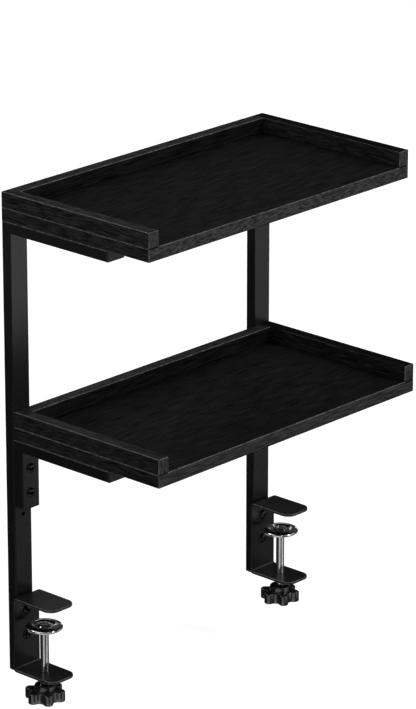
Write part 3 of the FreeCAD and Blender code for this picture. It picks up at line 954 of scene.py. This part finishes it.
for height in plate_screws:
    bore(strap, screw_hole, (0, strap_back, height), math.radians(90))
bore(strap, spindle_hole, (0, spindle_y, lower_jaw))
smooth(strap, 30)
even_normals(strap)
print("strap slots", [slot.name for slot in strap.data.materials if slot])
both_sides(strap, "{}_clamp_plate", "root", y=0)

# %% [markdown]
# ## The lobed knob
#
# Seen from below, the knob is a six-lobed flower of tangent arcs. Its lobes and hollows meet
# smoothly only if the hollows' radius fits the rest, so that radius is worked out first. Then
# one point is spun about each lobe's centre and each hollow's centre in turn, which draws the
# outline exactly. It is filled, pulled up to a thick disc and rounded on both rims.

# %% Knob's disc
knob_bottom, knob_top = -117.0, -104.5
lobe_count, lobe_radius, knob_radius, valley_radius = 6, 5.6, 23.37, 16.3
knob_phase, full_turn = math.radians(-4.0), 2 * math.pi
lobe_steps, hollow_steps, rim_round = 14, 8, 1.3
outline_merge, same_place = 0.02 * mm, 0.01 * mm

lobe_centre = knob_radius - lobe_radius
half_step = math.pi / lobe_count
lift = lobe_centre * math.cos(half_step)
chord = lobe_centre ** 2 + valley_radius ** 2 - 2 * valley_radius * lift
hollow_radius = (chord - lobe_radius ** 2) / (lobe_radius + lift - valley_radius) / 2
hollow_centre = valley_radius + hollow_radius
print("hollow radius", round(hollow_radius, 2), "mm")


def draw_arc(centre, turn, steps):
    """Run on by an arc about an upright axis. The operator turns clockwise, hence the minus."""
    bpy.ops.mesh.spin(
        steps=steps, angle=-turn, center=centre, axis=(0, 0, 1), use_auto_merge=False)


def on_plan(radius, angle):
    """A point of the knob's lower rim by radius and angle, in metres."""
    return Vector((radius * math.cos(angle), radius * math.sin(angle), knob_bottom)) * mm


def turn_between(centre, start, end):
    """The turn about a centre from one point to another, counted anticlockwise."""
    first, last = start - centre, end - centre
    return (math.atan2(last.y, last.x) - math.atan2(first.y, first.x)) % full_turn


first_lobe = on_plan(lobe_centre, knob_phase)
first_hollow = on_plan(hollow_centre, knob_phase - half_step)
start = first_lobe + (first_hollow - first_lobe).normalized() * lobe_radius * mm
knob = first_point("lobed_knob", start)
for k in range(lobe_count):
    angle = knob_phase + 2 * half_step * k
    lobe, next_lobe = on_plan(lobe_centre, angle), on_plan(lobe_centre, angle + 2 * half_step)
    before, after = (on_plan(hollow_centre, angle + half_step * way) for way in (-1, 1))
    draw_arc(lobe, turn_between(lobe, before, after), lobe_steps)
    draw_arc(after, -turn_between(after, next_lobe, lobe), hollow_steps)
bpy.ops.mesh.select_all(action="SELECT")
bpy.ops.mesh.remove_doubles(threshold=outline_merge)
bpy.ops.mesh.edge_face_add()
height = (knob_top - knob_bottom) * mm
bpy.ops.mesh.extrude_region_move(TRANSFORM_OT_translate={"value": (0, 0, height)})
pick(knob, "edges", lambda e: abs(e.verts[0].co.z - e.verts[1].co.z) < same_place)
bpy.ops.mesh.bevel(offset=rim_round * mm, segments=4, affect="EDGES")
close_edit(knob)
print("knob outline", len(knob.data.vertices), [round(x * 1000, 2) for x in knob.dimensions])

# %% [markdown]
# The hub, the pad, the spindle and the screws are round. Such a piece is drawn as half a
# section in the XZ plane and spun once about Z, as if it were turned on a lathe.

# %% Turned pieces
def draw_profile(name, points):
    """A line through (radius, height) points in millimetres, open in edit mode."""
    piece = first_point(name, (points[0][0] * mm, 0, points[0][1] * mm))
    for (r0, z0), (r1, z1) in zip(points, points[1:]):
        draw_on(((r1 - r0) * mm, 0, (z1 - z0) * mm))
    return piece


def round_points(piece, places, width, segments):
    """Round a profile's corners near the given (radius, height) places, in millimetres."""
    def near(vert):
        gaps = [math.hypot(vert.co.x - r * mm, vert.co.z - z * mm) for r, z in places]
        return min(gaps) < same_place

    pick(piece, "verts", near)
    bpy.ops.mesh.bevel(offset=width * mm, segments=segments, affect="VERTICES")


def spin_profile(piece, steps):
    """Turn the whole profile once about Z and close the piece."""
    bpy.ops.mesh.select_all(action="SELECT")
    bpy.ops.mesh.spin(steps=steps, angle=full_turn, center=(0, 0, 0), axis=(0, 0, 1))
    close_edit(piece)


print("a full turn is", round(full_turn, 4), "radians")

# %% [markdown]
# The hub is a cup that is spun from its section and united with the disc. Its hollow, through
# which the spindle comes, and the shallow recess underneath are spun as solids and cut out.
# These reach past the face that they cut, so that no thin skin is left.

# %% Knob's hub
hub_root, hub_top, hub_radius, lip_radius = -109.0, -98.5, 12.2, 11.8
cup_floor, cup_radius, mouth_radius, mouth_depth = -105.0, 9.6, 10.0, 0.4
recess_radius, recess_depth = 11.0, 0.8
cup_top, recess_bottom = hub_top + 2, knob_bottom - 1

hub = draw_profile("hub", [
    (0, hub_root), (hub_radius, hub_root), (hub_radius, knob_top),
    (lip_radius, hub_top), (0, hub_top),
])
round_points(hub, [(lip_radius, hub_top)], 0.8, 4)
spin_profile(hub, 96)
boolean(knob, hub, "UNION")

cup = draw_profile("cup", [
    (0, cup_floor), (cup_radius, cup_floor), (cup_radius, hub_top - mouth_depth),
    (mouth_radius, hub_top), (mouth_radius, cup_top), (0, cup_top),
])
round_points(cup, [(cup_radius, cup_floor)], 1.0, 4)
spin_profile(cup, 96)
boolean(knob, cup, "DIFFERENCE")

recess = draw_profile("recess", [
    (0, recess_bottom), (recess_radius, recess_bottom),
    (recess_radius, knob_bottom + recess_depth), (0, knob_bottom + recess_depth),
])
spin_profile(recess, 72)
boolean(knob, recess, "DIFFERENCE")
smooth(knob, 35)
paint(knob, knob_plastic)
both_sides(knob, "{}_knob", "{}_screw")

# %% [markdown]
# ## The swivel pad
#
# The pad is a turned disc with a shallow dish, and its top falls to a full round rim. A
# raised boss in the middle holds the spindle's head, and a collar below turns on the
# spindle's neck. Half its section is drawn from the neck round and back again, with heights
# measured from the boss, and spun. Each rounding below gives the corners that it is for, its
# width and its number of steps.

# %% Pad
pad_top = -25.5
neck_and_boss = [(3.55, -8.5), (3.55, -1.8), (4.9, -1.8), (4.9, 0.0), (5.7, 0.0)]
dish_and_shoulder = [(8.0, -2.3), (11.0, -2.3), (12.8, -0.7), (14.2, -0.1), (17.0, -0.3)]
rim_and_underside = [(21.0, -2.2), (21.0, -4.2), (19.0, -5.6), (8.9, -5.6)]
collar = [(8.0, -6.2), (8.0, -8.5), (3.55, -8.5)]
pad_roundings = [
    ([(17.0, -0.3)], 1.8, 6),
    ([(21.0, -2.2), (21.0, -4.2)], 0.9, 5),
    ([(19.0, -5.6)], 0.9, 5),
    ([(11.0, -2.3), (12.8, -0.7), (14.2, -0.1)], 0.6, 4),
    ([(5.7, 0.0)], 0.4, 5),
    ([(8.0, -2.3)], 0.6, 4),
    ([(4.9, 0.0)], 0.3, 3),
]


def at_pad(places):
    """Places of the pad's section, from the boss's height to the shelf's."""
    return [(radius, pad_top + height) for radius, height in places]


section = neck_and_boss + dish_and_shoulder + rim_and_underside + collar
pad = draw_profile("swivel_pad", at_pad(section))
for places, width, segments in pad_roundings:
    round_points(pad, at_pad(places), width, segments)
spin_profile(pad, 96)
smooth(pad, 40)
paint(pad, chrome)
both_sides(pad, "{}_pad", "{}_pad")

# %% [markdown]
# ## The threaded spindle
#
# The spindle is an M10 screw with a pitch of 1.5 mm. Its core is spun from a section: the
# peened head in the pad's dish, the thin journal, the shank, and the core of the thread.

# %% Spindle's core
thread_low, thread_high = -104.5, -38.0
shank_radius, core_radius, crest_radius = 4.9, 4.45, 4.88
peened_head = [(0, -26.55), (1.3, -25.95), (3.4, -26.1), (4.6, -27.15)]
journal = [(3.5, -27.15), (3.5, -34.15), (4.5, -34.15)]
shank = [(shank_radius, -34.55), (shank_radius, thread_high)]
thread_core = [
    (core_radius, thread_high - 0.5), (core_radius, -113.5), (4.0, -114.0), (0, -114.0),
]
spindle = draw_profile("threaded_spindle", peened_head + journal + shank + thread_core)
round_points(spindle, [(3.4, -26.1)], 1.0, 4)
spin_profile(spindle, 64)
print("core faces", len(spindle.data.polygons))

# %% [markdown]
# The thread is one tooth's section that the Screw modifier winds round the core, up one pitch
# at each turn, as a thread is cut on a lathe. Its crests are wide and its groove is shallow,
# so from some way off the chromed spindle still looks like a smooth bar. The tooth's outline
# is closed by a face, of which only the edges are kept, and the wound thread's two open ends
# are closed by faces of their own.

# %% Spindle's thread
thread_pitch = 1.5
thread_steps = 40
root_half_width, crest_half_width, root_depth = 0.62, 0.46, 0.15


def joined(pieces, name):
    """Several pieces as one object."""
    make_active(pieces[0])
    for piece in pieces:
        piece.select_set(True)
    bpy.ops.object.join()
    pieces[0].name = name
    return pieces[0]


tooth = draw_profile("thread", [
    (core_radius - root_depth, thread_low - root_half_width),
    (crest_radius, thread_low - crest_half_width),
    (crest_radius, thread_low + crest_half_width),
    (core_radius - root_depth, thread_low + root_half_width),
])
bpy.ops.mesh.select_all(action="SELECT")
bpy.ops.mesh.edge_face_add()
bpy.ops.mesh.delete(type="ONLY_FACE")
bpy.ops.object.mode_set(mode="OBJECT")
winding = tooth.modifiers.new("winding", "SCREW")
winding.axis = "Z"
winding.angle = full_turn
winding.screw_offset = thread_pitch * mm
winding.iterations = int((thread_high - thread_low) / thread_pitch)
winding.steps = thread_steps
winding.render_steps = thread_steps
bpy.ops.object.modifier_apply(modifier=winding.name)
edit(tooth, "EDGE")
pick(tooth, "edges", lambda e: e.is_boundary)
bpy.ops.mesh.edge_face_add()
close_edit(tooth)
print("thread faces", len(tooth.data.polygons))
spindle = joined([spindle, tooth], "threaded_spindle")
smooth(spindle, 30)
paint(spindle, chrome)
both_sides(spindle, "{}_spindle", "{}_screw")

# %% [markdown]
# ## Machine screws
#
# Button-head screws hold the brackets and the clamp plates. The head's section is drawn,
# rounded and spun, and its hexagon socket is cut by a six-sided prism that goes in by half
# its length. One screw is copied to all the places of its node and turned to face the front.

# %% Machine screws
head_height, head_radius, bolt_radius = 3.0, 5.5, 2.5
crown_radius, brim_height = 3.1, 1.4
socket_half_width, socket_depth = 1.5, 1.6


def machine_screw(name, length):
    """A button-head screw that points up Z, its head's underside at zero."""
    screw = draw_profile(name, [
        (0, head_height), (crown_radius, head_height), (head_radius, brim_height),
        (head_radius, 0), (bolt_radius, 0), (bolt_radius, -length), (0, -length),
    ])
    round_points(screw, [(crown_radius, head_height)], 2.2, 6)
    round_points(screw, [(head_radius, brim_height)], 1.2, 6)
    spin_profile(screw, 60)
    bpy.ops.mesh.primitive_cylinder_add(
        vertices=6, radius=socket_half_width / math.cos(math.pi / 6) * mm,
        depth=2 * socket_depth * mm, location=(0, 0, head_height * mm))
    socket = bpy.context.object
    settle(socket)
    boolean(screw, socket, "DIFFERENCE")
    smooth(screw, 35)
    paint(screw, screw_coat)
    return screw


def screw_row(screw, node, ending, places, tip=0.0):
    """Copies of a screw at places in millimetres, joined to one piece that stands for a node."""
    pieces = [
        copy_to(screw, node + "_part", [x * mm for x in place], tip)
        for place in places
    ]
    bpy.data.objects.remove(screw)
    stand_in(joined(pieces, node + ending), node, "root")


for node, length, front, heights in (
    ("bracket_screws", 20.5, -10.0, (156.0, 127.0)),
    ("clamp_plate_screws", 10.5, 0.0, plate_screws),
):
    screw = machine_screw(node + "_one", length)
    places = [(x, front, z) for x in (-post_x, post_x) for z in heights]
    screw_row(screw, node, "_button_head", places, tip=math.radians(90))

# %% [markdown]
# ## Wood screws
#
# Under each arm two zinc-plated pan-head screws go up into the board. Their cross recess is
# cut by two crossed blades, which are narrower deep in the head than at its face.

# %% Wood screws
pan_height, pan_radius, pan_brim, pan_face = 2.2, 3.8, 1.0, 2.3
body_radius, body_length, point = 2.0, 20.0, 24.0
blade_size, blade_taper = (3.4, 0.75, 2.6), 0.35


def wood_screw():
    """A pan-head screw that points up Z, its head below zero."""
    screw = draw_profile("wood_screw", [
        (0, -pan_height), (pan_face, -pan_height), (pan_radius, -pan_brim), (pan_radius, 0),
        (body_radius, 0), (body_radius, body_length), (0, point),
    ])
    round_points(screw, [(pan_face, -pan_height)], 1.2, 4)
    round_points(screw, [(pan_radius, -pan_brim)], 0.7, 4)
    spin_profile(screw, 40)
    face_z = -pan_height * mm
    for turn in (0, math.pi / 2):
        bpy.ops.mesh.primitive_cube_add(size=1.0, location=(0, 0, face_z), rotation=(0, 0, turn))
        blade = bpy.context.object
        blade.scale = [side * mm for side in blade_size]
        settle(blade)
        edit(blade, "VERT")
        pick(blade, "verts", lambda v: v.co.z > face_z)
        bpy.ops.transform.resize(
            value=(blade_taper, blade_taper, 1.0), center_override=(0, 0, 0))
        bpy.ops.object.mode_set(mode="OBJECT")
        boolean(screw, blade, "DIFFERENCE")
    smooth(screw, 35)
    paint(screw, zinc)
    return screw


for node, arm_bottom, depths in (
    ("upper_board_screws", 426.0, (-42.0, -127.0)),
    ("lower_board_screws", 176.0, (-42.0, -126.5)),
):
    places = [(x, y, arm_bottom) for x in (-post_x, post_x) for y in depths]
    screw_row(wood_screw(), node, "_pan_head", places)
